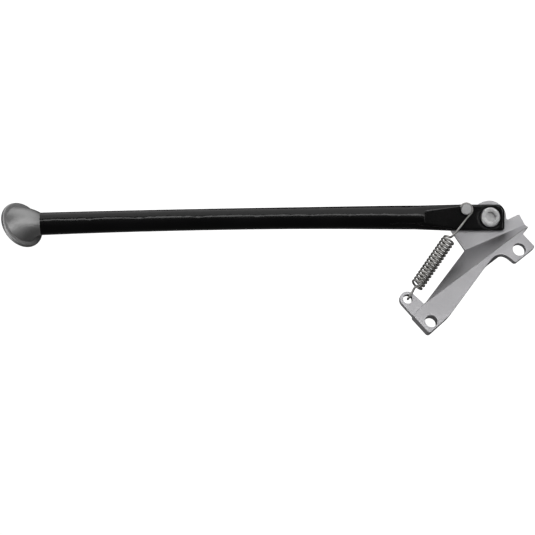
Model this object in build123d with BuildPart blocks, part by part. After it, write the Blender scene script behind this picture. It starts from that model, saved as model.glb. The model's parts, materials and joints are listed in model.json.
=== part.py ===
from build123d import *
import os
from math import acos, atan2, cos, degrees, hypot, pi, radians, sin

# Folding side stand. Millimetres, +Z up as fitted, +X towards the rear, -Y outboard.
# The origin is the middle of the rear frame hole on the mounting face (Y = 0).
# Leg-side pieces are drawn in the pivot frame: x along the folded leg, y upwards
# across it, z outboard along the pivot axis, with its origin in the middle of the lug.

# ---------------------------------------------------------------- pivot frame
PIVOT = (-1.82, 1.99, -109.05)
AXIS_RISE = 19.5  # degrees the pivot axis climbs outboard
AXIS_SWEEP = 4.1  # degrees it turns forwards
STOW_ANGLE = 30.0  # degrees the folded leg climbs to the rear

# ---------------------------------------------------------------- pivot set
BOLT_D = 10.0
BOLT_CLEARANCE = 0.2
BOLT_HOLE_D = BOLT_D + 2 * BOLT_CLEARANCE
BOLT_END_CHAMFER = 0.8
HEAD_D = 16.0
HEAD_HEIGHT = 5.0
HEAD_CHAMFER = 0.7
HEX_SOCKET = 8.0
SOCKET_DEPTH = 3.4
SPOTFACE_MARGIN = 2.3
SPOTFACE_D = HEAD_D + 2 * SPOTFACE_MARGIN
SPOTFACE_DEPTH = 0.5
SLEEVE_WALL = 1.3
SLEEVE_D = BOLT_HOLE_D + 2 * SLEEVE_WALL
RUNNING_FIT = 0.05
BUSH_BORE_D = SLEEVE_D + 2 * RUNNING_FIT
BUSH_WALL = 1.45
BUSH_D = BUSH_BORE_D + 2 * BUSH_WALL
BUSH_END_GAP = 0.2
FLANGE_WIDTH = 2.0
FLANGE_D = BUSH_D + 2 * FLANGE_WIDTH
FLANGE_THICKNESS = 1.0
FLANGE_PROUD = 0.3
FLANGE_CLEARANCE = 0.1
WASHER_WIDTH = 4.8
WASHER_D = BOLT_HOLE_D + 2 * WASHER_WIDTH
WASHER_THICKNESS = 2.0
NUT_FLATS = 17.0
NUT_HEIGHT = 10.0
INSERT_WALL = 1.8
INSERT_D = BOLT_D + 2 * INSERT_WALL
INSERT_HEIGHT = 2.6
COLLAR_WALL = 0.9
COLLAR_HEIGHT = 2.2
THREAD_PROUD = 2.0

# ---------------------------------------------------------------- bracket
PLATE_REAR = 9.0
PLATE_FRONT = 5.5
REAR_HOLE_D = 10.0
FRONT_HOLE_D = 10.8
FRONT_HOLE = (-35.9, -93.5)
WEB_THICKNESS = 8.0
LUG_THICKNESS = 7.0
LUG_RIM = 4.0
LUG_RADIUS = FLANGE_D / 2 + LUG_RIM
EAR_HOLE = (25.1, -7.8)
EAR_HOLE_D = 7.6
EAR_RIM = 2.6
EAR_RADIUS = EAR_HOLE_D / 2 + EAR_RIM
EAR_THICKNESS = 5.0
EAR_BACK = 2.0
TAB_ROOT = (-13.5, 2.9)
TAB_TIP = (-24.8, -2.6)
TAB_NOTCH = 1.5

# ---------------------------------------------------------------- leg
LEG_END = 371.7
LEG_BEND = 5.3
BEND_START = 58.2
CLEVIS_WIDTH = 17.2
CLEVIS_TOP = 11.2
CLEVIS_BOTTOM = 10.6
EAR_END = 12.2
EAR_LOW_ROUND = 6.5
EAR_HIGH_ROUND = 2.5
FLAT_END = 54.2
BLOCK_START = 25.2
BLOCK_END = 67.2
BLOCK_EDGE = 2.0
BLOCK_END_TALL = 19.4
BLOCK_END_FLAT = 0.6  # half the flat left between the block's end rounds
SLOT_END = 34.2
SLOT_CLEARANCE = 0.3
SLOT_OVERRUN = 1.5
STOP_GAP = 1.0
SPIGOT_D = 12.0
SPIGOT_LENGTH = 26.0
SPIGOT_END_GAP = 1.0
# leg diameter at each share of the way from the clevis flat to the foot
LEG_TAPER = [(0, 19.9), (0.138, 19.3), (0.26, 18.5), (0.469, 17.9), (0.744, 18.0), (0.87, 18.3), (1, 18.8)]
LEG_END_D = LEG_TAPER[-1][1]

# ---------------------------------------------------------------- foot
FOOT_REACH = 16.8
FOOT_RISE = 1.6
FOOT_NORMAL = (0.649, 0.407, -0.643)
PAD_ACROSS = (0.407, -0.649, 0.0)
PAD_D = 40.0
PAD_THICKNESS = 3.4
PAD_EDGE = 1.4
PAD_LIP = 3.5
BELL_D = PAD_D - 2 * PAD_LIP
BELL_SINK = 0.5
BELL_MIDDLE_D = 25.0
BELL_MIDDLE_OFFSET = (7.5, -1.1, 2.2)
BELL_MIDDLE_NORMAL = (0.82, 0.22, -0.30)
BELL_MIDDLE_ACROSS = (0, 0.3, 0.22)
PIN_D = 4.0
PIN_WALL = 0.8
PIN_SLIT = 0.7
PIN_SETBACK = 13.0
PIN_SINK = 0.3
PIN_OVERRUN = 10.0

# ---------------------------------------------------------------- spring set
POST = (19.8, -6.3)
WIRE_D = 1.8
POST_NECK_D = 7.2
POST_NECK_HEIGHT = WIRE_D + 0.8
POST_HEAD_D = POST_NECK_D + 1.8
POST_HEAD_HEIGHT = 2.4
POST_HEAD_ROUND = 0.8
POST_THREAD_D = 6.0
POST_THREAD_GAP = 0.2
HOOK_CLEARANCE = 0.6
HOOK_R = (POST_NECK_D + WIRE_D) / 2 + HOOK_CLEARANCE
EAR_HOOK_CLEARANCE = 0.58
EAR_HOOK_R = hypot(EAR_RIM, EAR_THICKNESS) / 2 + WIRE_D / 2 + EAR_HOOK_CLEARANCE
LOOP_SETBACK = EAR_RADIUS - EAR_RIM / 2 + 0.2
COIL_D = 11.7
COIL_R = (COIL_D - WIRE_D) / 2
COIL_TURNS = 17
COIL_START = 29.5
COIL_LENGTH = 50.6
AXIS_OFFSET = 2.3
HOOK_WRAP = 200.0
HOOK_LEAD = 4.0
EAR_HOOK_WRAP = 207.0
EAR_LEAD = 4.0
KINK_REACH = 1.5
END_BEND = 3.0
SPLIT_GAP = 0.4

os.makedirs("parts", exist_ok=True)


def pivot_directions():
    """Row-frame directions of the pivot frame's x and z axes."""
    rise = radians(AXIS_RISE)
    sweep = radians(AXIS_SWEEP)
    stow = radians(STOW_ANGLE)
    outboard = Vector(-sin(sweep) * cos(rise), -cos(sweep) * cos(rise), sin(rise))
    level = Vector(cos(sweep), -sin(sweep), 0)
    along = level * cos(stow) + outboard.cross(level) * sin(stow)
    return along, outboard


ALONG, OUTBOARD = pivot_directions()
hinge = Plane(origin=PIVOT, x_dir=ALONG, z_dir=OUTBOARD)


def point(x, y, z=0.0):
    """A pivot-frame point in the row frame."""
    return hinge.from_local_coords(Vector(x, y, z))


def direction(x, y, z):
    """A pivot-frame direction in the row frame."""
    return point(x, y, z) - point(0, 0, 0)


def plane_at(origin, x_dir=(1, 0, 0), z_dir=(0, 0, 1)):
    """A sketch plane given in pivot-frame coordinates."""
    return Plane(origin=point(*origin), x_dir=direction(*x_dir), z_dir=direction(*z_dir))


def height(z):
    """The sketch plane parallel to the lug's faces, z outboard of its middle."""
    return plane_at((0, 0, z))


HALF_LUG = LUG_THICKNESS / 2
HALF_CLEVIS = CLEVIS_WIDTH / 2
HALF_SLOT = HALF_LUG + FLANGE_PROUD + SLOT_CLEARANCE
FLANGE_SEAT = HALF_LUG - (FLANGE_THICKNESS - FLANGE_PROUD)

# ================================================================ bracket
ROUND_REAR_HOLE = [(11.5, -10.5), (15.0, 3.4), (-3.4, 10.2), (-10.9, -12.2), (-18.0, -65.0)]
ROUND_FRONT_HOLE = [(14.2, 8.9), (-2.4, 12.1), (-10.8, -9.0), (3.6, -14.2), (2.0, -21.2), (4.6, -18.1)]
MOUNT_OUTLINE = ROUND_REAR_HOLE + [(FRONT_HOLE[0] + x, FRONT_HOLE[1] + z) for x, z in ROUND_FRONT_HOLE]
MOUNT_ROUNDS = {1: 1.0, 2: 2.5, 3: 40.0, 5: 10.0, 6: 2.5, 7: 2.0, 8: 2.0}
TONGUE_REAR = (31.8, 10.9)
TONGUE_TANGENT = atan2(TONGUE_REAR[1], TONGUE_REAR[0]) - acos(LUG_RADIUS / hypot(*TONGUE_REAR))
TONGUE_OUTLINE = [
    (LUG_RADIUS * cos(TONGUE_TANGENT), LUG_RADIUS * sin(TONGUE_TANGENT)),
    TONGUE_REAR,
    (28.9, 15.0),
    (20.4, 27.2),
    (18.2, 33.0),
    (-26.8, 11.5),
    (-29.5, 5.9),
    TAB_TIP,
    TAB_ROOT,
]
FACET_LOW_REAR = (20.4, 27.2, HALF_LUG)
FACET_LOW_FRONT = (-29.5, 5.9, HALF_LUG)
FACET_HIGH = (57.0, 70.6, 42.3)
FACET_END = [(-31.8, 8.1), (-27.8, 9.7)]
# the web is cut back square to the lug past its front end
WEB_TRIM = [(-31.8, 8.1), (-27.6, 13.4), (-27.6, 30.0), (-60.0, 30.0), (-60.0, 8.1)]


def front_face():
    """The drafted outboard face of the mounting plate."""
    span = hypot(*FRONT_HOLE)
    draft = (PLATE_REAR - PLATE_FRONT) / span
    normal = (draft * FRONT_HOLE[0] / span, -1, draft * FRONT_HOLE[1] / span)
    return Plane(origin=(0, -PLATE_REAR, 0), x_dir=(1, 0, 0), z_dir=normal)


def facet_plane():
    """The steep face that joins the pivot plate to the mounting plate."""
    low_front = point(*FACET_LOW_FRONT)
    along = point(*FACET_LOW_REAR) - low_front
    normal = along.cross(point(*FACET_HIGH) - low_front)
    return Plane(origin=low_front, x_dir=along, z_dir=normal)


def facet_point(facet, x, y):
    """Where the line through pivot-frame (x, y) along the pivot axis meets the facet."""
    start = point(x, y)
    travel = (facet.origin - start).dot(facet.z_dir) / OUTBOARD.dot(facet.z_dir)
    return start + OUTBOARD * travel


with BuildPart() as mounting_plate:
    with BuildSketch(Plane.XZ):
        Polygon(*MOUNT_OUTLINE, align=None)
        for index, radius in MOUNT_ROUNDS.items():
            corner = Vector(*MOUNT_OUTLINE[index])
            fillet(vertices().sort_by_distance(corner)[0], radius)
    extrude(amount=PLATE_REAR + EAR_THICKNESS)
    split(bisect_by=front_face(), keep=Keep.BOTTOM)

facet = facet_plane()
facet_corners = [point(*FACET_HIGH), point(*FACET_LOW_REAR), point(*FACET_LOW_FRONT)]
facet_corners += [facet_point(facet, *corner) for corner in FACET_END]
with BuildPart() as web:
    with BuildSketch(facet):
        flat_corners = [facet.to_local_coords(corner) for corner in facet_corners]
        Polygon(*[(corner.X, corner.Y) for corner in flat_corners], align=None)
    extrude(amount=-WEB_THICKNESS)
    with BuildSketch(hinge):
        Polygon(*WEB_TRIM, align=None)
    extrude(amount=FACET_HIGH[2], both=True, mode=Mode.SUBTRACT)

with BuildPart() as frame_bracket:
    add(mounting_plate.part)
    add(web.part)
    # pivot plate, lug and stop tab
    with BuildSketch(hinge):
        Circle(LUG_RADIUS)
        Polygon(*TONGUE_OUTLINE, align=None)
        fillet(vertices().sort_by_distance(Vector(*TAB_ROOT))[0], TAB_NOTCH)
    extrude(amount=HALF_LUG, both=True)
    # spring ear, set down behind the mounting plate's face
    with BuildSketch(Plane.XZ.offset(EAR_BACK)):
        with Locations(EAR_HOLE):
            Circle(EAR_RADIUS)
        Polygon((11.5, -10.9), (14.9, 2.9), (9.0, -1.0), align=None)
        make_hull()
    extrude(amount=EAR_THICKNESS)
    # frame holes, spring hole and the stepped bore for the flanged bushes
    with BuildSketch(Plane.XZ.offset(-1)):
        Circle(REAR_HOLE_D / 2)
        with Locations(FRONT_HOLE):
            Circle(FRONT_HOLE_D / 2)
        with Locations(EAR_HOLE):
            Circle(EAR_HOLE_D / 2)
    extrude(amount=PLATE_REAR + EAR_THICKNESS, mode=Mode.SUBTRACT)
    with BuildSketch(hinge):
        Circle(BUSH_D / 2)
    extrude(amount=HALF_LUG, both=True, mode=Mode.SUBTRACT)
    for side in (1, -1):
        with BuildSketch(plane_at((0, 0, side * FLANGE_SEAT), z_dir=(0, 0, side))):
            Circle(FLANGE_D / 2 + FLANGE_CLEARANCE)
        extrude(amount=FLANGE_THICKNESS, mode=Mode.SUBTRACT)
frame_bracket.part.label = "frame_bracket"
export_step(frame_bracket.part, "parts/frame_bracket.step")


def flanged_bush(side):
    """One bronze bush, flange against the lug's outboard (1) or inboard (-1) face."""
    with BuildPart() as bush:
        with BuildSketch(plane_at((0, 0, side * FLANGE_SEAT), z_dir=(0, 0, side))):
            Circle(FLANGE_D / 2)
            Circle(BUSH_BORE_D / 2, mode=Mode.SUBTRACT)
        extrude(amount=FLANGE_THICKNESS)
        with BuildSketch(plane_at((0, 0, side * FLANGE_SEAT), z_dir=(0, 0, -side))):
            Circle(BUSH_D / 2)
            Circle(BUSH_BORE_D / 2, mode=Mode.SUBTRACT)
        extrude(amount=FLANGE_SEAT - BUSH_END_GAP)
    return bush


outer_bush = flanged_bush(1)
outer_bush.part.label = "outer_bush"
export_step(outer_bush.part, "parts/outer_bush.step")
inner_bush = flanged_bush(-1)
inner_bush.part.label = "inner_bush"
export_step(inner_bush.part, "parts/inner_bush.step")

# ================================================================ leg
def leg_rise(x):
    """How far the leg's centre line has bent upwards at x."""
    reach = max(x - BEND_START, 0) / (LEG_END - BEND_START)
    return LEG_BEND * reach**2


def leg_slope(x):
    """The centre line's slope at x."""
    return 2 * LEG_BEND * max(x - BEND_START, 0) / (LEG_END - BEND_START) ** 2


def leg_section(x):
    """The sketch plane square to the leg's centre line at x."""
    return plane_at((x, leg_rise(x), 0), x_dir=(0, 0, 1), z_dir=(1, leg_slope(x), 0))


# the slot leaves a web of metal between the cheeks, whose two faces are the stops
SLOT_MOUTH = -EAR_END - SLOT_OVERRUN
SLOT_LOW = -CLEVIS_BOTTOM - SLOT_OVERRUN
SLOT_HIGH = CLEVIS_TOP + SLOT_OVERRUN
WEB_START = LUG_RADIUS + STOP_GAP
WEB_LOW = -8.2
WEB_HIGH = -6.0
DEEP_SLOT = 26.0
SLOT_OUTLINE = [
    (SLOT_MOUTH, SLOT_LOW),
    (DEEP_SLOT, SLOT_LOW),
    (DEEP_SLOT, WEB_LOW),
    (WEB_START, WEB_LOW),
    (WEB_START, WEB_HIGH),
    (SLOT_END, SLOT_HIGH),
    (SLOT_MOUTH, SLOT_HIGH),
]
BLOCK_TALL = CLEVIS_TOP + CLEVIS_BOTTOM
BLOCK_MIDDLE = (CLEVIS_TOP - CLEVIS_BOTTOM) / 2

# the foot's pin is blind: it passes the spigot and stops in the leg's far wall
PIN_X = LEG_END - PIN_SETBACK
PIN_END = SPIGOT_D / 2
PIN_LENGTH = PIN_END + LEG_END_D / 2 - PIN_SINK
PIN_PLANE = plane_at((PIN_X, leg_rise(PIN_X), PIN_END))

with BuildPart() as clevis_block:
    with BuildSketch(height(-HALF_CLEVIS)):
        with Locations(((BLOCK_START - EAR_END) / 2, BLOCK_MIDDLE)):
            Rectangle(BLOCK_START + EAR_END, BLOCK_TALL)
        fillet(vertices().sort_by_distance(Vector(-EAR_END, -CLEVIS_BOTTOM))[0], EAR_LOW_ROUND)
        fillet(vertices().sort_by_distance(Vector(-EAR_END, CLEVIS_TOP))[0], EAR_HIGH_ROUND)
    extrude(amount=CLEVIS_WIDTH)
    across = Axis(point(0, 0), OUTBOARD)
    lengthwise = Axis(point(0, 0), ALONG)
    for cheek in (faces().sort_by(across)[0], faces().sort_by(across)[-1]):
        fillet(cheek.edges().sort_by(lengthwise)[:-1], BLOCK_EDGE)

with BuildPart() as leg:
    # tapered round shank
    for share, diameter in LEG_TAPER:
        with BuildSketch(leg_section(FLAT_END + share * (LEG_END - FLAT_END))):
            Circle(diameter / 2)
    loft()
    # clevis block, squarish at the pivot and running out to the round
    with BuildSketch(plane_at((BLOCK_START, BLOCK_MIDDLE, 0), x_dir=(0, 0, 1), z_dir=(1, 0, 0))):
        RectangleRounded(CLEVIS_WIDTH, BLOCK_TALL, BLOCK_EDGE)
    with BuildSketch(plane_at((BLOCK_END, 0, 0), x_dir=(0, 0, 1), z_dir=(1, 0, 0))):
        RectangleRounded(CLEVIS_WIDTH, BLOCK_END_TALL, min(CLEVIS_WIDTH, BLOCK_END_TALL) / 2 - BLOCK_END_FLAT)
    loft()
    add(clevis_block.part)
    # slot for the lug, with the web that carries both stops
    with BuildSketch(hinge):
        Polygon(*SLOT_OUTLINE, align=None)
    extrude(amount=HALF_SLOT, both=True, mode=Mode.SUBTRACT)
    # pivot bore, spotface and the post's thread
    with BuildSketch(hinge):
        Circle(BOLT_HOLE_D / 2)
    extrude(amount=CLEVIS_WIDTH, both=True, mode=Mode.SUBTRACT)
    with BuildSketch(height(HALF_CLEVIS - SPOTFACE_DEPTH)):
        Circle(SPOTFACE_D / 2)
    extrude(amount=CLEVIS_WIDTH, mode=Mode.SUBTRACT)
    with BuildSketch(height(HALF_CLEVIS)):
        with Locations(POST):
            Circle(POST_THREAD_D / 2)
    extrude(amount=HALF_SLOT - HALF_CLEVIS, mode=Mode.SUBTRACT)
    # socket for the foot's spigot and the blind hole for its pin
    with BuildSketch(leg_section(LEG_END)):
        Circle(SPIGOT_D / 2)
    extrude(amount=-SPIGOT_LENGTH - SPIGOT_END_GAP, mode=Mode.SUBTRACT)
    with BuildSketch(PIN_PLANE):
        Circle(PIN_D / 2)
    extrude(amount=-PIN_LENGTH - PIN_OVERRUN, mode=Mode.SUBTRACT)
leg.part.label = "leg"
export_step(leg.part, "parts/leg.step")

# ================================================================ pivot set
HEAD_SEAT = HALF_CLEVIS - SPOTFACE_DEPTH
BACK_STACK = HALF_CLEVIS + WASHER_THICKNESS + NUT_HEIGHT + THREAD_PROUD
with BuildPart() as pivot_bolt:
    with BuildSketch(height(HEAD_SEAT)):
        Circle(HEAD_D / 2)
    extrude(amount=HEAD_HEIGHT)
    rim = faces().sort_by(Axis(point(0, 0), OUTBOARD))[-1]
    chamfer(rim.edges(), HEAD_CHAMFER)
    with BuildSketch(height(HEAD_SEAT)):
        Circle(BOLT_D / 2)
    extrude(amount=-HEAD_SEAT - BACK_STACK)
    tip = faces().sort_by(Axis(point(0, 0), OUTBOARD))[0]
    chamfer(tip.edges(), BOLT_END_CHAMFER)
    with BuildSketch(height(HEAD_SEAT + HEAD_HEIGHT)):
        RegularPolygon(HEX_SOCKET / 2, 6, major_radius=False)
    extrude(amount=-SOCKET_DEPTH, mode=Mode.SUBTRACT)
pivot_bolt.part.label = "pivot_bolt"
export_step(pivot_bolt.part, "parts/pivot_bolt.step")

with BuildPart() as pivot_sleeve:
    with BuildSketch(hinge):
        Circle(SLEEVE_D / 2)
        Circle(BOLT_HOLE_D / 2, mode=Mode.SUBTRACT)
    extrude(amount=HALF_SLOT, both=True)
pivot_sleeve.part.label = "pivot_sleeve"
export_step(pivot_sleeve.part, "parts/pivot_sleeve.step")

with BuildPart() as pivot_washer:
    with BuildSketch(height(-HALF_CLEVIS)):
        Circle(WASHER_D / 2)
        Circle(BOLT_HOLE_D / 2, mode=Mode.SUBTRACT)
    extrude(amount=-WASHER_THICKNESS)
pivot_washer.part.label = "pivot_washer"
export_step(pivot_washer.part, "parts/pivot_washer.step")

NUT_FACE = -HALF_CLEVIS - WASHER_THICKNESS
with BuildPart() as lock_nut:
    with BuildSketch(height(NUT_FACE)):
        RegularPolygon(NUT_FLATS / 2, 6, major_radius=False)
    extrude(amount=-(NUT_HEIGHT - COLLAR_HEIGHT))
    with BuildSketch(height(NUT_FACE - NUT_HEIGHT)):
        Circle(INSERT_D / 2 + COLLAR_WALL)
    extrude(amount=NUT_HEIGHT)
    with BuildSketch(height(NUT_FACE)):
        Circle(BOLT_D / 2)
    extrude(amount=-NUT_HEIGHT, mode=Mode.SUBTRACT)
    with BuildSketch(height(NUT_FACE - NUT_HEIGHT)):
        Circle(INSERT_D / 2)
    extrude(amount=INSERT_HEIGHT, mode=Mode.SUBTRACT)
lock_nut.part.label = "lock_nut"
export_step(lock_nut.part, "parts/lock_nut.step")

with BuildPart() as nut_insert:
    with BuildSketch(height(NUT_FACE - NUT_HEIGHT)):
        Circle(INSERT_D / 2)
        Circle(BOLT_D / 2, mode=Mode.SUBTRACT)
    extrude(amount=INSERT_HEIGHT)
nut_insert.part.label = "nut_insert"
export_step(nut_insert.part, "parts/nut_insert.step")

# ================================================================ spring post
with BuildPart() as spring_post:
    with BuildSketch(height(HALF_SLOT + POST_THREAD_GAP)):
        with Locations(POST):
            Circle(POST_THREAD_D / 2)
    extrude(amount=HALF_CLEVIS - HALF_SLOT)
    with BuildSketch(height(HALF_CLEVIS)):
        with Locations(POST):
            Circle(POST_NECK_D / 2)
    extrude(amount=POST_NECK_HEIGHT)
    with BuildSketch(height(HALF_CLEVIS + POST_NECK_HEIGHT)):
        with Locations(POST):
            Circle(POST_HEAD_D / 2)
    extrude(amount=POST_HEAD_HEIGHT)
    crown = faces().sort_by(Axis(point(0, 0), OUTBOARD))[-1]
    fillet(crown.edges(), POST_HEAD_ROUND)
spring_post.part.label = "spring_post"
export_step(spring_post.part, "parts/spring_post.step")

# ================================================================ foot
LEG_TIP = Vector(LEG_END, LEG_BEND, 0)
FOOT_CENTRE = tuple(LEG_TIP + Vector(FOOT_REACH, FOOT_RISE, 0))
BELL_MIDDLE = tuple(LEG_TIP + Vector(*BELL_MIDDLE_OFFSET))
BELL_BASE = tuple(Vector(*FOOT_CENTRE) - Vector(*FOOT_NORMAL) * (PAD_THICKNESS - BELL_SINK))
NECK_PLANE = leg_section(LEG_END)
with BuildPart() as foot:
    with BuildSketch(plane_at(FOOT_CENTRE, z_dir=FOOT_NORMAL, x_dir=PAD_ACROSS)):
        Circle(PAD_D / 2)
    extrude(amount=-PAD_THICKNESS)
    fillet(edges().filter_by(GeomType.CIRCLE), PAD_EDGE)
    with BuildSketch(NECK_PLANE):
        Circle(LEG_END_D / 2)
    with BuildSketch(plane_at(BELL_MIDDLE, z_dir=BELL_MIDDLE_NORMAL, x_dir=BELL_MIDDLE_ACROSS)):
        Circle(BELL_MIDDLE_D / 2)
    with BuildSketch(plane_at(BELL_BASE, z_dir=FOOT_NORMAL, x_dir=PAD_ACROSS)):
        Circle(BELL_D / 2)
    loft()
    with BuildSketch(NECK_PLANE):
        Circle(SPIGOT_D / 2)
    extrude(amount=-SPIGOT_LENGTH)
    with BuildSketch(PIN_PLANE):
        Circle(PIN_D / 2)
    extrude(amount=-PIN_LENGTH - PIN_OVERRUN, mode=Mode.SUBTRACT)
foot.part.label = "foot"
export_step(foot.part, "parts/foot.step")

with BuildPart() as foot_pin:
    with BuildSketch(PIN_PLANE):
        Circle(PIN_D / 2)
        Circle(PIN_D / 2 - PIN_WALL, mode=Mode.SUBTRACT)
        with Locations((0, PIN_D / 2)):
            Rectangle(PIN_SLIT, PIN_D, mode=Mode.SUBTRACT)
    extrude(amount=-PIN_LENGTH)
foot_pin.part.label = "foot_pin"
export_step(foot_pin.part, "parts/foot_pin.step")

# ================================================================ tension spring
# The wire is straight runs and tangent arcs. Each half turn of the coil is one arc, tilted
# so that it climbs half the pitch and meets its neighbours tangentially.
ear_middle = EAR_BACK + EAR_THICKNESS / 2
ear_centre = hinge.to_local_coords(Vector(EAR_HOLE[0], -ear_middle, EAR_HOLE[1]))
ear_out = hinge.to_local_coords(Vector(0, -1, 0) + hinge.origin)
post_centre = Vector(POST[0], POST[1], HALF_CLEVIS + POST_NECK_HEIGHT / 2)
flat_run = Vector(ear_centre.X - POST[0], ear_centre.Y - POST[1], 0).normalized()
coil_axis_top = post_centre + Vector(-flat_run.Y, flat_run.X, 0) * AXIS_OFFSET
coil_axis = (ear_centre - coil_axis_top).normalized()
front_of_coil = (ear_out - coil_axis * ear_out.dot(coil_axis)).normalized()
side_of_coil = coil_axis.cross(front_of_coil)
HALF_TURNS = 2 * COIL_TURNS
HALF_PITCH = COIL_LENGTH / HALF_TURNS
END_ARC_R = (COIL_R**2 - END_BEND**2) / (2 * COIL_R)
END_ARC_ANGLE = pi - atan2(END_BEND, END_ARC_R)


def axis_point(half):
    """The point of the coil's axis that is half turns from its start."""
    return coil_axis_top + coil_axis * (COIL_START + HALF_PITCH * half)


def half_turn(half, start_angle=0.0):
    """One half turn of the coil, as three points."""
    turned = 1 if half % 2 == 0 else -1
    spots = []
    for angle in (start_angle, (start_angle + pi) / 2, pi):
        forwards = front_of_coil * (turned * cos(angle) * COIL_R)
        sideways = side_of_coil * (turned * sin(angle) * hypot(COIL_R, HALF_PITCH / 2))
        spots.append(axis_point(half + (1 - cos(angle)) / 2) + forwards + sideways)
    return spots


def corner(before, apex, after, reach):
    """The tangent arc that rounds a corner, from reach before it to reach after it."""
    inward = (before - apex).normalized()
    onward = (after - apex).normalized()
    half_angle = radians(inward.get_angle(onward)) / 2
    depth = reach * (1 - sin(half_angle)) / cos(half_angle)
    return [apex + inward * reach, apex + (inward + onward).normalized() * depth, apex + onward * reach]


def coil_lead(half, tangent, kink, landing):
    """The wire from one end of the coil, in to its axis, and past a kink to landing."""
    centre = axis_point(half)
    arc_centre = centre + front_of_coil * (COIL_R - END_ARC_R)
    turn_in = [centre + front_of_coil * COIL_R]
    for angle in (END_ARC_ANGLE / 2, END_ARC_ANGLE):
        turn_in.append(arc_centre + (front_of_coil * cos(angle) + tangent * sin(angle)) * END_ARC_R)
    end_bend = corner(turn_in[-1], centre, kink, END_BEND)
    kink_bend = corner(centre, kink, landing, KINK_REACH)
    return [turn_in, end_bend, [end_bend[-1], kink_bend[0]], kink_bend, [kink_bend[-1], landing]]


def upper_path():
    """Hook round the post, the straight reach and the upper half of the coil."""
    centre = axis_point(0)
    to_coil = Vector(centre.X - post_centre.X, centre.Y - post_centre.Y, 0)
    lean = acos(HOOK_R / to_coil.length)
    touch_side = to_coil.normalized().rotate(Axis.Z, degrees(lean))
    touch = post_centre + touch_side * HOOK_R
    run = (post_centre + to_coil - touch).normalized()
    hook = []
    for share in (1, 0.5, 0):
        angle = radians(HOOK_WRAP * share)
        hook.append(post_centre + (touch_side * cos(angle) - run * sin(angle)) * HOOK_R)
    lead = coil_lead(0, side_of_coil * -1, touch + run * HOOK_LEAD, touch)
    coil = [half_turn(half) for half in range(COIL_TURNS)]
    return [hook] + [arc[::-1] for arc in reversed(lead)] + coil


def lower_path():
    """The lower half of the coil and the hook through the ear."""
    ear_run = (coil_axis - ear_out * coil_axis.dot(ear_out)).normalized()
    loop_centre = ear_centre - ear_run * LOOP_SETBACK
    loop = []
    for share in (0, 0.5, 1):
        angle = radians(EAR_HOOK_WRAP * share)
        loop.append(loop_centre + (ear_out * cos(angle) + ear_run * sin(angle)) * EAR_HOOK_R)
    coil = [half_turn(COIL_TURNS, SPLIT_GAP / COIL_R)]
    coil += [half_turn(half) for half in range(COIL_TURNS + 1, HALF_TURNS)]
    return coil + coil_lead(HALF_TURNS, side_of_coil, loop[0] - ear_run * EAR_LEAD, loop[0]) + [loop]


def wire(arcs):
    """Round wire along joined arcs of three points and runs of two."""
    with BuildPart() as piece:
        with BuildLine() as path:
            for arc in arcs:
                spots = [point(*spot) for spot in arc]
                if len(spots) == 3:
                    ThreePointArc(*spots)
                else:
                    Line(*spots)
        with BuildSketch(Plane(origin=path.line @ 0, z_dir=path.line % 0)):
            Circle(WIRE_D / 2)
        sweep()
    return piece


upper_spring = wire(upper_path())
upper_spring.part.label = "upper_spring"
export_step(upper_spring.part, "parts/upper_spring.step")
lower_spring = wire(lower_path())
lower_spring.part.label = "lower_spring"
export_step(lower_spring.part, "parts/lower_spring.step")
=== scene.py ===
import json
from math import acos, cos, pi, radians, sin

import bmesh
import bpy
from mathutils import Matrix, Vector


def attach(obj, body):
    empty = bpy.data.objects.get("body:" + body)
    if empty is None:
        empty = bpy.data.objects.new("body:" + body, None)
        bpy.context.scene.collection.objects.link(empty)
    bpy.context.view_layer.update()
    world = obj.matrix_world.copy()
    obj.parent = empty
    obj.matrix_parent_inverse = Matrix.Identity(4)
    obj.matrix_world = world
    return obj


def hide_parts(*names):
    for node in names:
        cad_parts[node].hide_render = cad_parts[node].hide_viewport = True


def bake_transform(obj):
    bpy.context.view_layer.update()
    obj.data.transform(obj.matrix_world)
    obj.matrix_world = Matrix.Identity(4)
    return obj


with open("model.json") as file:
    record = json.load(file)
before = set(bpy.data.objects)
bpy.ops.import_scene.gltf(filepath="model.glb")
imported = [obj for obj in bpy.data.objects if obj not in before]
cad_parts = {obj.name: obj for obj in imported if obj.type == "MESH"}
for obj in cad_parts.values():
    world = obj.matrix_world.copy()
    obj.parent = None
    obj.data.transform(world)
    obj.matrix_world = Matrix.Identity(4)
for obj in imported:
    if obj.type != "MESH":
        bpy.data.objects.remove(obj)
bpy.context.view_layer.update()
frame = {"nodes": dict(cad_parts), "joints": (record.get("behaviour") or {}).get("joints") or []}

MM = 0.001
JOINTS = {joint["name"]: joint for joint in frame["joints"]}

# ---------------------------------------------------------------- directions
# The pivot frame: ALONG is the folded leg, OUTBOARD the pivot axis, ACROSS square to both.
PIVOT = Vector(JOINTS["leg_fold"]["pos_m"])
OUTBOARD = -Vector(JOINTS["leg_fold"]["axis"]).normalized()
STOW_ANGLE = radians(30.0)
LEVEL = Vector((0, 0, 1)).cross(OUTBOARD).normalized()
ALONG = LEVEL * cos(STOW_ANGLE) + OUTBOARD.cross(LEVEL) * sin(STOW_ANGLE)
ACROSS = OUTBOARD.cross(ALONG)
# The camera looks down the pivot axis, with the part upside down.
VIEW_RIGHT, VIEW_UP, VIEW_BACK = -ALONG, -ACROSS, OUTBOARD


def spot(x, y, z=0.0):
    """A point given in millimetres in the pivot frame."""
    return PIVOT + (ALONG * x + ACROSS * y + OUTBOARD * z) * MM


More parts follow.
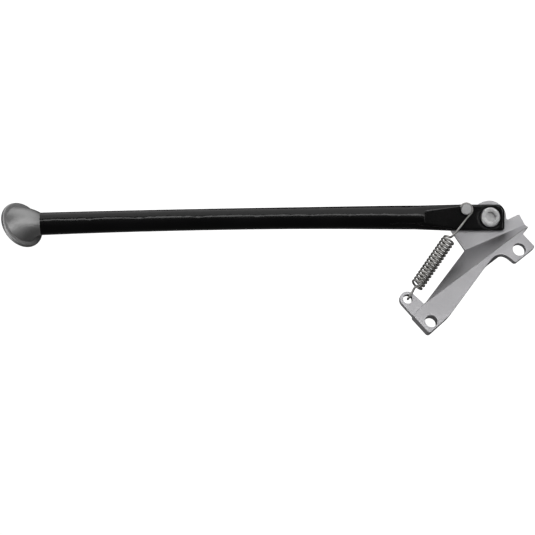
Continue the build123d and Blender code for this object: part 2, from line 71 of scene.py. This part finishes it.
# ---------------------------------------------------------------- sizes, in millimetres
# These repeat the CAD's.
CLEVIS_WIDTH = 17.2
POST = (19.8, -6.3)
POST_NECK_HEIGHT = 2.6
WIRE_D = 1.8
HOOK_R = 5.1
EAR_HOOK_R = 4.3
LOOP_SETBACK = 5.3
COIL_R = 4.95
COIL_START = 29.5
COIL_LENGTH = 50.6
AXIS_OFFSET = 2.3
HOOK_WRAP = radians(200)
EAR_HOOK_WRAP = radians(207)
HOOK_LEAD = 4.0
# These are the drawn spring's own. Its coil has one turn fewer than the CAD's.
COIL_TURNS = 16
EAR_LEAD = 2.5
COIL_EXIT = 1.6  # how far past the coil, and to the side of its axis, the wire leaves it
COIL_EXIT_SIDE = 1.2
END_RADIUS = 2.4  # the coil is drawn in to this at its ends
END_TURNS = 0.42


# ---------------------------------------------------------------- node helpers
class Shader:
    """A material's node tree, built one node at a time."""

    def __init__(self, name):
        self.material = bpy.data.materials.new(name)
        self.material.use_nodes = True
        self.tree = self.material.node_tree
        self.tree.nodes.clear()
        self.output = self.tree.nodes.new("ShaderNodeOutputMaterial")
        self.surface = self.add("ShaderNodeBsdfPrincipled")
        self.link(self.surface, "BSDF", self.output, "Surface")
        self.position = self.add("ShaderNodeTexCoord")

    def add(self, kind, **values):
        node = self.tree.nodes.new(kind)
        for name, value in values.items():
            setattr(node, name, value)
        return node

    def link(self, source, out_name, target, in_name):
        self.tree.links.new(source.outputs[out_name], target.inputs[in_name])

    def set(self, **values):
        for name, value in values.items():
            self.surface.inputs[name.replace("_", " ")].default_value = value

    def noise(self, scale, detail=3.0, roughness=0.5, stretch=(1, 1, 1), vector=None):
        """A noise field over the surface, scale in cycles per metre."""
        mapping = self.add("ShaderNodeMapping")
        mapping.inputs["Scale"].default_value = stretch
        if vector is None:
            self.link(self.position, "Object", mapping, "Vector")
        else:
            self.tree.links.new(vector, mapping.inputs["Vector"])
        texture = self.add("ShaderNodeTexNoise")
        texture.inputs["Scale"].default_value = scale
        texture.inputs["Detail"].default_value = detail
        texture.inputs["Roughness"].default_value = roughness
        self.link(mapping, "Vector", texture, "Vector")
        return texture.outputs["Fac"]

    def ramp(self, field, stops):
        """A colour ramp through (position, colour) stops."""
        node = self.add("ShaderNodeValToRGB")
        ramp = node.color_ramp
        while len(ramp.elements) < len(stops):
            ramp.elements.new(0.5)
        for element, (position, colour) in zip(ramp.elements, stops):
            element.position = position
            element.color = (*colour, 1) if isinstance(colour, tuple) else (colour, colour, colour, 1)
        self.tree.links.new(field, node.inputs["Fac"])
        return node.outputs["Color"]

    def span(self, field, low, high):
        """field, from 0 to 1, mapped to the range low to high."""
        node = self.add("ShaderNodeMapRange")
        node.inputs["To Min"].default_value = low
        node.inputs["To Max"].default_value = high
        self.tree.links.new(field, node.inputs["Value"])
        return node.outputs["Result"]

    def math(self, operation, first, second):
        node = self.add("ShaderNodeMath", operation=operation)
        for socket, value in zip(node.inputs, (first, second)):
            if isinstance(value, (int, float)):
                socket.default_value = value
            else:
                self.tree.links.new(value, socket)
        return node.outputs[0]

    def mix(self, factor, first, second):
        """first and second colours mixed by a field."""
        node = self.add("ShaderNodeMix", data_type="RGBA")
        self.tree.links.new(factor, node.inputs["Factor"])
        for socket, value in ((node.inputs[6], first), (node.inputs[7], second)):
            if isinstance(value, tuple):
                socket.default_value = (*value, 1)
            else:
                self.tree.links.new(value, socket)
        return node.outputs[2]

    def feed(self, field, name):
        self.tree.links.new(field, self.surface.inputs[name])

    def bump(self, fields):
        """Bumps laid over each other: (field, height in millimetres)."""
        previous = None
        for field, tall in fields:
            node = self.add("ShaderNodeBump")
            node.inputs["Distance"].default_value = tall * MM
            node.inputs["Strength"].default_value = 1.0
            self.tree.links.new(field, node.inputs["Height"])
            if previous is not None:
                self.link(previous, "Normal", node, "Normal")
            previous = node
        self.link(previous, "Normal", self.surface, "Normal")

    def edges(self, low=0.5, high=0.56):
        """1 on the outer edges of the shape, 0 elsewhere."""
        geometry = self.add("ShaderNodeNewGeometry")
        return self.span_clamped(geometry.outputs["Pointiness"], low, high)

    def span_clamped(self, field, low, high):
        node = self.add("ShaderNodeMapRange")
        node.inputs["From Min"].default_value = low
        node.inputs["From Max"].default_value = high
        self.tree.links.new(field, node.inputs["Value"])
        return node.outputs["Result"]

    def around(self, origin, axis):
        """Distance from a line, in metres, and the coordinate along it."""
        offset = self.add("ShaderNodeVectorMath", operation="SUBTRACT")
        self.link(self.position, "Object", offset, 0)
        offset.inputs[1].default_value = origin
        along = self.add("ShaderNodeVectorMath", operation="DOT_PRODUCT")
        self.link(offset, "Vector", along, 0)
        along.inputs[1].default_value = axis
        square = self.add("ShaderNodeVectorMath", operation="DOT_PRODUCT")
        self.link(offset, "Vector", square, 0)
        self.link(offset, "Vector", square, 1)
        lengthwise = self.math("MULTIPLY", along.outputs["Value"], along.outputs["Value"])
        across = self.math("SUBTRACT", square.outputs["Value"], lengthwise)
        return self.math("SQRT", self.math("MAXIMUM", across, 0.0), 0.0), along.outputs["Value"]


# ---------------------------------------------------------------- materials
def blasted_metal(name, light, dark, rough, grain=0.02):
    """Finely blasted or cast metal with a sandy grain and a painted highlight along its outer edges."""
    shader = Shader(name)
    shader.set(Metallic=1.0)
    broad = shader.noise(45, detail=4, roughness=0.6)
    fine = shader.noise(1400, detail=2, roughness=0.7)
    speckle = shader.noise(3600, detail=1)
    tone = shader.math("ADD", shader.math("MULTIPLY", broad, 0.6), shader.math("MULTIPLY", fine, 0.4))
    body = shader.ramp(tone, [(0.36, dark), (0.64, light)])
    # painted highlight: the outer edges are coloured lighter than the body, as if they caught the light
    painted_edge_highlight = tuple(min(1.0, channel * 1.35) for channel in light)
    shader.feed(shader.mix(shader.edges(0.52, 0.62), body, painted_edge_highlight), "Base Color")
    shader.feed(shader.span(fine, rough - 0.07, rough + 0.07), "Roughness")
    shader.bump([(broad, grain * 2), (fine, grain), (speckle, grain * 0.5)])
    return shader.material


def gloss_paint(name):
    """Gloss black paint with a faint orange peel and fine dust nibs."""
    shader = Shader(name)
    shader.set(Metallic=0.0, Coat_Weight=0.2, Coat_Roughness=0.08, Specular_IOR_Level=0.35)
    peel = shader.noise(260, detail=2, roughness=0.45)
    broad = shader.noise(30, detail=3)
    nibs = shader.ramp(shader.noise(900, detail=1), [(0.72, 0.0), (0.8, 1.0)])
    body = shader.ramp(broad, [(0.3, (0.0012, 0.0012, 0.0013)), (0.7, (0.0026, 0.0026, 0.0028))])
    shader.feed(body, "Base Color")
    shader.feed(shader.span(broad, 0.16, 0.26), "Roughness")
    shader.bump([(peel, 0.004), (nibs, 0.002)])
    return shader.material


def turned_metal(name, light, dark, rough, origin, axis, rings=2600):
    """Machined metal with fine turning marks about an axis, and a painted highlight along its outer edges."""
    shader = Shader(name)
    shader.set(Metallic=1.0)
    distance, _ = shader.around(origin, axis)
    coordinate = shader.add("ShaderNodeCombineXYZ")
    shader.tree.links.new(distance, coordinate.inputs["X"])
    marks = shader.noise(rings, detail=2, roughness=0.7, vector=coordinate.outputs["Vector"])
    cloud = shader.noise(220, detail=3)
    tone = shader.math("ADD", shader.math("MULTIPLY", marks, 0.55), shader.math("MULTIPLY", cloud, 0.45))
    body = shader.ramp(tone, [(0.35, dark), (0.65, light)])
    # painted highlight: the outer edges are coloured lighter than the body, as if they caught the light
    painted_edge_highlight = tuple(min(1.0, channel * 1.3) for channel in light)
    shader.feed(shader.mix(shader.edges(0.52, 0.62), body, painted_edge_highlight), "Base Color")
    shader.feed(shader.span(cloud, rough - 0.06, rough + 0.06), "Roughness")
    shader.bump([(marks, 0.006), (cloud, 0.003)])
    return shader.material


def drawn_wire(name):
    """Drawn spring wire, bright with faint lengthwise scratches and dull patches."""
    shader = Shader(name)
    shader.set(Metallic=1.0)
    patches = shader.noise(160, detail=4, roughness=0.65)
    fine = shader.noise(2600, detail=2)
    shader.feed(shader.ramp(patches, [(0.32, (0.30, 0.295, 0.28)), (0.66, (0.62, 0.61, 0.59))]), "Base Color")
    shader.feed(shader.span(patches, 0.42, 0.58), "Roughness")
    shader.bump([(fine, 0.004)])
    return shader.material


def moulded_plastic(name):
    """Plain moulded nylon, slightly mottled."""
    shader = Shader(name)
    mottle = shader.noise(300, detail=3)
    shader.feed(shader.ramp(mottle, [(0.3, (0.62, 0.62, 0.57)), (0.7, (0.78, 0.78, 0.73))]), "Base Color")
    shader.feed(shader.span(mottle, 0.42, 0.56), "Roughness")
    shader.bump([(mottle, 0.01)])
    return shader.material


FRAME_METAL = blasted_metal("bracket_metal", (0.60, 0.595, 0.61), (0.52, 0.515, 0.53), 0.54)
FOOT_METAL = blasted_metal("foot_metal", (0.50, 0.50, 0.50), (0.40, 0.40, 0.40), 0.52, grain=0.035)
PAINT = gloss_paint("black_paint")
POST_SPOT = spot(*POST, CLEVIS_WIDTH / 2)
FACE_STEEL = turned_metal("bolt_steel", (0.74, 0.74, 0.74), (0.6, 0.6, 0.6), 0.32, PIVOT, OUTBOARD)
POST_STEEL = turned_metal("post_steel", (0.56, 0.56, 0.56), (0.44, 0.44, 0.44), 0.46, POST_SPOT, OUTBOARD)
ZINC = turned_metal("zinc_plate", (0.68, 0.69, 0.71), (0.54, 0.55, 0.57), 0.3, PIVOT, OUTBOARD, rings=1500)
DARK_STEEL = blasted_metal("dark_steel", (0.2, 0.2, 0.21), (0.12, 0.12, 0.13), 0.38)
BRONZE = turned_metal("bronze", (0.60, 0.42, 0.22), (0.46, 0.31, 0.16), 0.36, PIVOT, OUTBOARD)
WIRE = drawn_wire("spring_steel")
NYLON = moulded_plastic("nylon")


# ---------------------------------------------------------------- refined copies of CAD pieces
WELD = 0.002 * MM
SAME_PLANE = radians(0.15)
SHARP_EDGE = radians(28)
SHARP_SHADING = radians(40)
BEVEL_SEGMENTS = 2
WHOLE_PART = 1.0  # metres from the pivot, past every edge
CLEVIS_REACH = 0.062  # metres, past the clevis but short of the foot


def refined(node, piece_name, material, edge, reach=WHOLE_PART):
    """A new piece with the CAD node's shape.

    Its sharp edges within reach metres of the pivot are broken by edge millimetres.
    """
    source = frame["nodes"][node]
    mesh = source.data.copy()
    mesh.name = piece_name
    work = bmesh.new()
    work.from_mesh(mesh)
    bmesh.ops.remove_doubles(work, verts=work.verts, dist=WELD)
    bmesh.ops.dissolve_degenerate(work, edges=work.edges, dist=WELD)
    bmesh.ops.dissolve_limit(work, angle_limit=SAME_PLANE, verts=work.verts, edges=work.edges)
    if edge:
        chosen = [
            e for e in work.edges
            if e.is_manifold and e.calc_face_angle(0) > SHARP_EDGE and (e.verts[0].co - PIVOT).length < reach
        ]
        bmesh.ops.bevel(
            work, geom=chosen, offset=edge * MM, offset_type="OFFSET", segments=BEVEL_SEGMENTS,
            profile=0.5, affect="EDGES", clamp_overlap=False, miter_outer="ARC",
        )
    bmesh.ops.triangulate(work, faces=[f for f in work.faces if len(f.verts) > 4])
    for face in work.faces:
        face.smooth = True
    work.to_mesh(mesh)
    work.free()
    if "custom_normal" in mesh.attributes:
        mesh.attributes.remove(mesh.attributes["custom_normal"])
    mesh.set_sharp_from_angle(angle=SHARP_SHADING)
    mesh.materials.clear()
    mesh.materials.append(material)
    piece = bpy.data.objects.new(piece_name, mesh)
    bpy.context.scene.collection.objects.link(piece)
    weighted = piece.modifiers.new("flat_faces", "WEIGHTED_NORMAL")
    weighted.mode = "FACE_AREA_WITH_ANGLE"
    weighted.keep_sharp = True
    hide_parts(node)
    return piece


def paint_node(node, material):
    """Gives a CAD node that keeps its shape a better material."""
    data = frame["nodes"][node].data
    data.materials.clear()
    data.materials.append(material)


BRACKET = refined("frame_bracket", "bracket_body", FRAME_METAL, edge=0.35)
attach(BRACKET, "bracket")
LEG = refined("leg", "painted_leg", PAINT, edge=0.35, reach=CLEVIS_REACH)
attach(LEG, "leg")
FOOT = refined("foot", "cast_foot", FOOT_METAL, edge=0)
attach(FOOT, "leg")
BOLT = refined("pivot_bolt", "pivot_screw", FACE_STEEL, edge=0.2)
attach(BOLT, "leg")
STUD = refined("spring_post", "spring_stud", POST_STEEL, edge=0.15)
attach(STUD, "leg")
for node, material in {
    "outer_bush": BRONZE, "inner_bush": BRONZE, "pivot_sleeve": FACE_STEEL, "pivot_washer": ZINC,
    "lock_nut": ZINC, "nut_insert": NYLON, "foot_pin": DARK_STEEL,
}.items():
    paint_node(node, material)


# ---------------------------------------------------------------- tension spring
def in_pivot_frame(vector):
    """A row-frame direction, or an offset from the pivot, in the pivot frame."""
    return Vector((vector.dot(ALONG), vector.dot(ACROSS), vector.dot(OUTBOARD)))


EAR = Vector(JOINTS["spring_swing"]["pos_m"])
EAR_MIDDLE = in_pivot_frame(EAR - PIVOT) / MM
EAR_OUT = in_pivot_frame(Vector((0, -1, 0)))
POST_MIDDLE = Vector((*POST, CLEVIS_WIDTH / 2 + POST_NECK_HEIGHT / 2))
FLAT_RUN = Vector((EAR_MIDDLE.x - POST_MIDDLE.x, EAR_MIDDLE.y - POST_MIDDLE.y, 0)).normalized()
COIL_TOP = POST_MIDDLE + Vector((-FLAT_RUN.y, FLAT_RUN.x, 0)) * AXIS_OFFSET
COIL_AXIS = (EAR_MIDDLE - COIL_TOP).normalized()
COIL_FRONT = (EAR_OUT - COIL_AXIS * EAR_OUT.dot(COIL_AXIS)).normalized()
COIL_SIDE = COIL_AXIS.cross(COIL_FRONT)
HOOK_STEPS = 36
TURN_STEPS = 40


def post_hook():
    """The hook round the post and the straight reach to the coil."""
    start = COIL_TOP + COIL_AXIS * COIL_START
    to_coil = Vector((start.x - POST_MIDDLE.x, start.y - POST_MIDDLE.y, 0))
    lean = acos(HOOK_R / to_coil.length)
    touch_side = to_coil.normalized()
    touch_side.rotate(Matrix.Rotation(lean, 3, "Z"))
    touch = POST_MIDDLE + touch_side * HOOK_R
    run = (POST_MIDDLE + to_coil - touch).normalized()
    line = []
    for step in range(HOOK_STEPS + 1):
        angle = HOOK_WRAP * (1 - step / HOOK_STEPS)
        line.append(POST_MIDDLE + (touch_side * cos(angle) - run * sin(angle)) * HOOK_R)
    line.append(touch + run * (HOOK_LEAD / 2))
    kink = touch + run * HOOK_LEAD
    reach_end = start - COIL_AXIS * COIL_EXIT - COIL_SIDE * COIL_EXIT_SIDE
    line.append(kink)
    for share in (0.25, 0.5, 0.75, 1.0):
        line.append(kink.lerp(reach_end, share))
    return line


def coil():
    """The coil, its ends drawn in towards the axis."""
    line = []
    for step in range(COIL_TURNS * TURN_STEPS + 1):
        turn = step / TURN_STEPS
        ease = max(0.0, 1 - min(turn, COIL_TURNS - turn) / END_TURNS)
        radius = COIL_R - (COIL_R - END_RADIUS) * ease**2
        angle = 2 * pi * turn
        travel = COIL_START + COIL_LENGTH * turn / COIL_TURNS
        spoke = COIL_FRONT * cos(angle) + COIL_SIDE * sin(angle)
        line.append(COIL_TOP + COIL_AXIS * travel + spoke * radius)
    return line


def ear_hook():
    """The wire from the coil's far end and its hook through the ear."""
    ear_run = (COIL_AXIS - EAR_OUT * COIL_AXIS.dot(EAR_OUT)).normalized()
    loop_centre = EAR_MIDDLE - ear_run * LOOP_SETBACK
    approach = loop_centre + EAR_OUT * EAR_HOOK_R - ear_run * EAR_LEAD
    exit_point = COIL_TOP + COIL_AXIS * (COIL_START + COIL_LENGTH + COIL_EXIT) + COIL_SIDE * COIL_EXIT_SIDE
    line = [exit_point.lerp(approach, share) for share in (0.0, 0.5, 1.0)]
    for step in range(HOOK_STEPS + 1):
        angle = EAR_HOOK_WRAP * step / HOOK_STEPS
        line.append(loop_centre + (EAR_OUT * cos(angle) + ear_run * sin(angle)) * EAR_HOOK_R)
    return line


def spring_line():
    """The middle of the wire from the post's hook to the ear's hook, in the row frame."""
    return [spot(*place) for place in post_hook() + coil() + ear_hook()]


def smoothed(line, rounds=2):
    """The line with its corners rounded by repeated averaging."""
    for _ in range(rounds):
        line = [line[0]] + [
            (before + here * 2 + after) / 4 for before, here, after in zip(line, line[1:], line[2:])
        ] + [line[-1]]
    return line


def wire_mesh(name, line, diameter, sides=14):
    """A round wire along a line, with flat ends."""
    work = bmesh.new()
    rings = []
    normal = (line[1] - line[0]).orthogonal().normalized()
    for index, place in enumerate(line):
        ahead = line[min(index + 1, len(line) - 1)]
        behind = line[max(index - 1, 0)]
        tangent = (ahead - behind).normalized()
        normal = (normal - tangent * normal.dot(tangent)).normalized()
        other = tangent.cross(normal)
        ring = []
        for corner in range(sides):
            angle = 2 * pi * corner / sides
            ring.append(work.verts.new(place + (normal * cos(angle) + other * sin(angle)) * (diameter / 2)))
        rings.append(ring)
    for first, second in zip(rings, rings[1:]):
        for corner in range(sides):
            following = (corner + 1) % sides
            work.faces.new((first[corner], first[following], second[following], second[corner]))
    work.faces.new(rings[0][::-1])
    work.faces.new(rings[-1])
    bmesh.ops.recalc_face_normals(work, faces=work.faces)
    for face in work.faces:
        face.smooth = len(face.verts) == 4
    mesh = bpy.data.meshes.new(name)
    work.to_mesh(mesh)
    work.free()
    mesh.set_sharp_from_angle(angle=radians(50))
    return mesh


SPRING_MESH = wire_mesh("tension_spring", smoothed(spring_line()), WIRE_D * MM)
SPRING = bpy.data.objects.new("tension_spring", SPRING_MESH)
bpy.context.scene.collection.objects.link(SPRING)
SPRING.data.materials.append(WIRE)
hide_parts("upper_spring", "lower_spring")
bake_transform(SPRING)

# ---------------------------------------------------------------- floor
FLOOR_DROP = -0.47
FLOOR_HALF = 40.0
floor_mesh = bpy.data.meshes.new("floor")
floor_signs = [(-1, -1), (1, -1), (1, 1), (-1, 1)]
floor_corners = [(x * FLOOR_HALF, y * FLOOR_HALF, FLOOR_DROP) for x, y in floor_signs]
floor_mesh.from_pydata(floor_corners, [], [(0, 1, 2, 3)])
FLOOR = bpy.data.objects.new("floor", floor_mesh)
bpy.context.scene.collection.objects.link(FLOOR)
pale = Shader("pale_floor")
pale.set(Roughness=0.9, Base_Color=(0.9, 0.9, 0.9, 1))
pale.set(Emission_Color=(1, 1, 1, 1), Emission_Strength=1.0)
floor_mesh.materials.append(pale.material)
FLOOR.visible_glossy = False
FLOOR.visible_diffuse = False

# ---------------------------------------------------------------- light
world = bpy.data.worlds.new("studio")
bpy.context.scene.world = world
world.use_nodes = True
world.node_tree.nodes["Background"].inputs["Color"].default_value = (1, 1, 1, 1)
world.node_tree.nodes["Background"].inputs["Strength"].default_value = 0.05


def softbox(name, direction, distance, size, power):
    """An area light aimed at the part; direction is (right, up, back) as the camera sees it."""
    data = bpy.data.lights.new(name, "AREA")
    data.shape = "RECTANGLE"
    data.size, data.size_y = size
    data.energy = power
    light = bpy.data.objects.new(name, data)
    bpy.context.scene.collection.objects.link(light)
    aim = (VIEW_RIGHT * direction[0] + VIEW_UP * direction[1] + VIEW_BACK * direction[2]).normalized()
    light.location = TARGET + aim * distance
    light.rotation_mode = "QUATERNION"
    light.rotation_quaternion = aim.to_track_quat("Z", "Y")
    light.visible_camera = False


TARGET = spot(150, 20)
softbox("overhead", (0, 1, 0.15), 1.0, (2.4, 1.2), 8)
softbox("front", (0.0, 0.5, 1), 1.9, (1.4, 0.4), 6)
softbox("right_fill", (0.62, 0.22, 1), 1.9, (0.5, 0.9), 5.5)
softbox("left_fill", (-0.62, 0.1, 1), 1.9, (0.5, 0.9), 5.5)
softbox("low_left", (-1, -0.75, 0.55), 1.6, (0.8, 0.8), 6)
softbox("backdrop", (0, -0.6, -1), 1.5, (2.6, 1.2), 0.9)

# ---------------------------------------------------------------- camera
CAMERA_AT = (183.7, 41.5, 1513.9)
FOCAL_SHARE = 1824 / 535  # focal length as a share of the picture's side
SENSOR_WIDTH = 36.0
camera_data = bpy.data.cameras.new("camera")
camera_data.sensor_width = SENSOR_WIDTH
camera_data.lens = SENSOR_WIDTH * FOCAL_SHARE
camera_data.clip_end = 100
CAMERA = bpy.data.objects.new("camera", camera_data)
bpy.context.scene.collection.objects.link(CAMERA)
facing = Matrix((VIEW_RIGHT, VIEW_UP, VIEW_BACK)).transposed().to_4x4()
CAMERA.matrix_world = Matrix.Translation(spot(*CAMERA_AT)) @ facing
bpy.context.scene.camera = CAMERA
bpy.context.scene.view_settings.view_transform = "Standard"
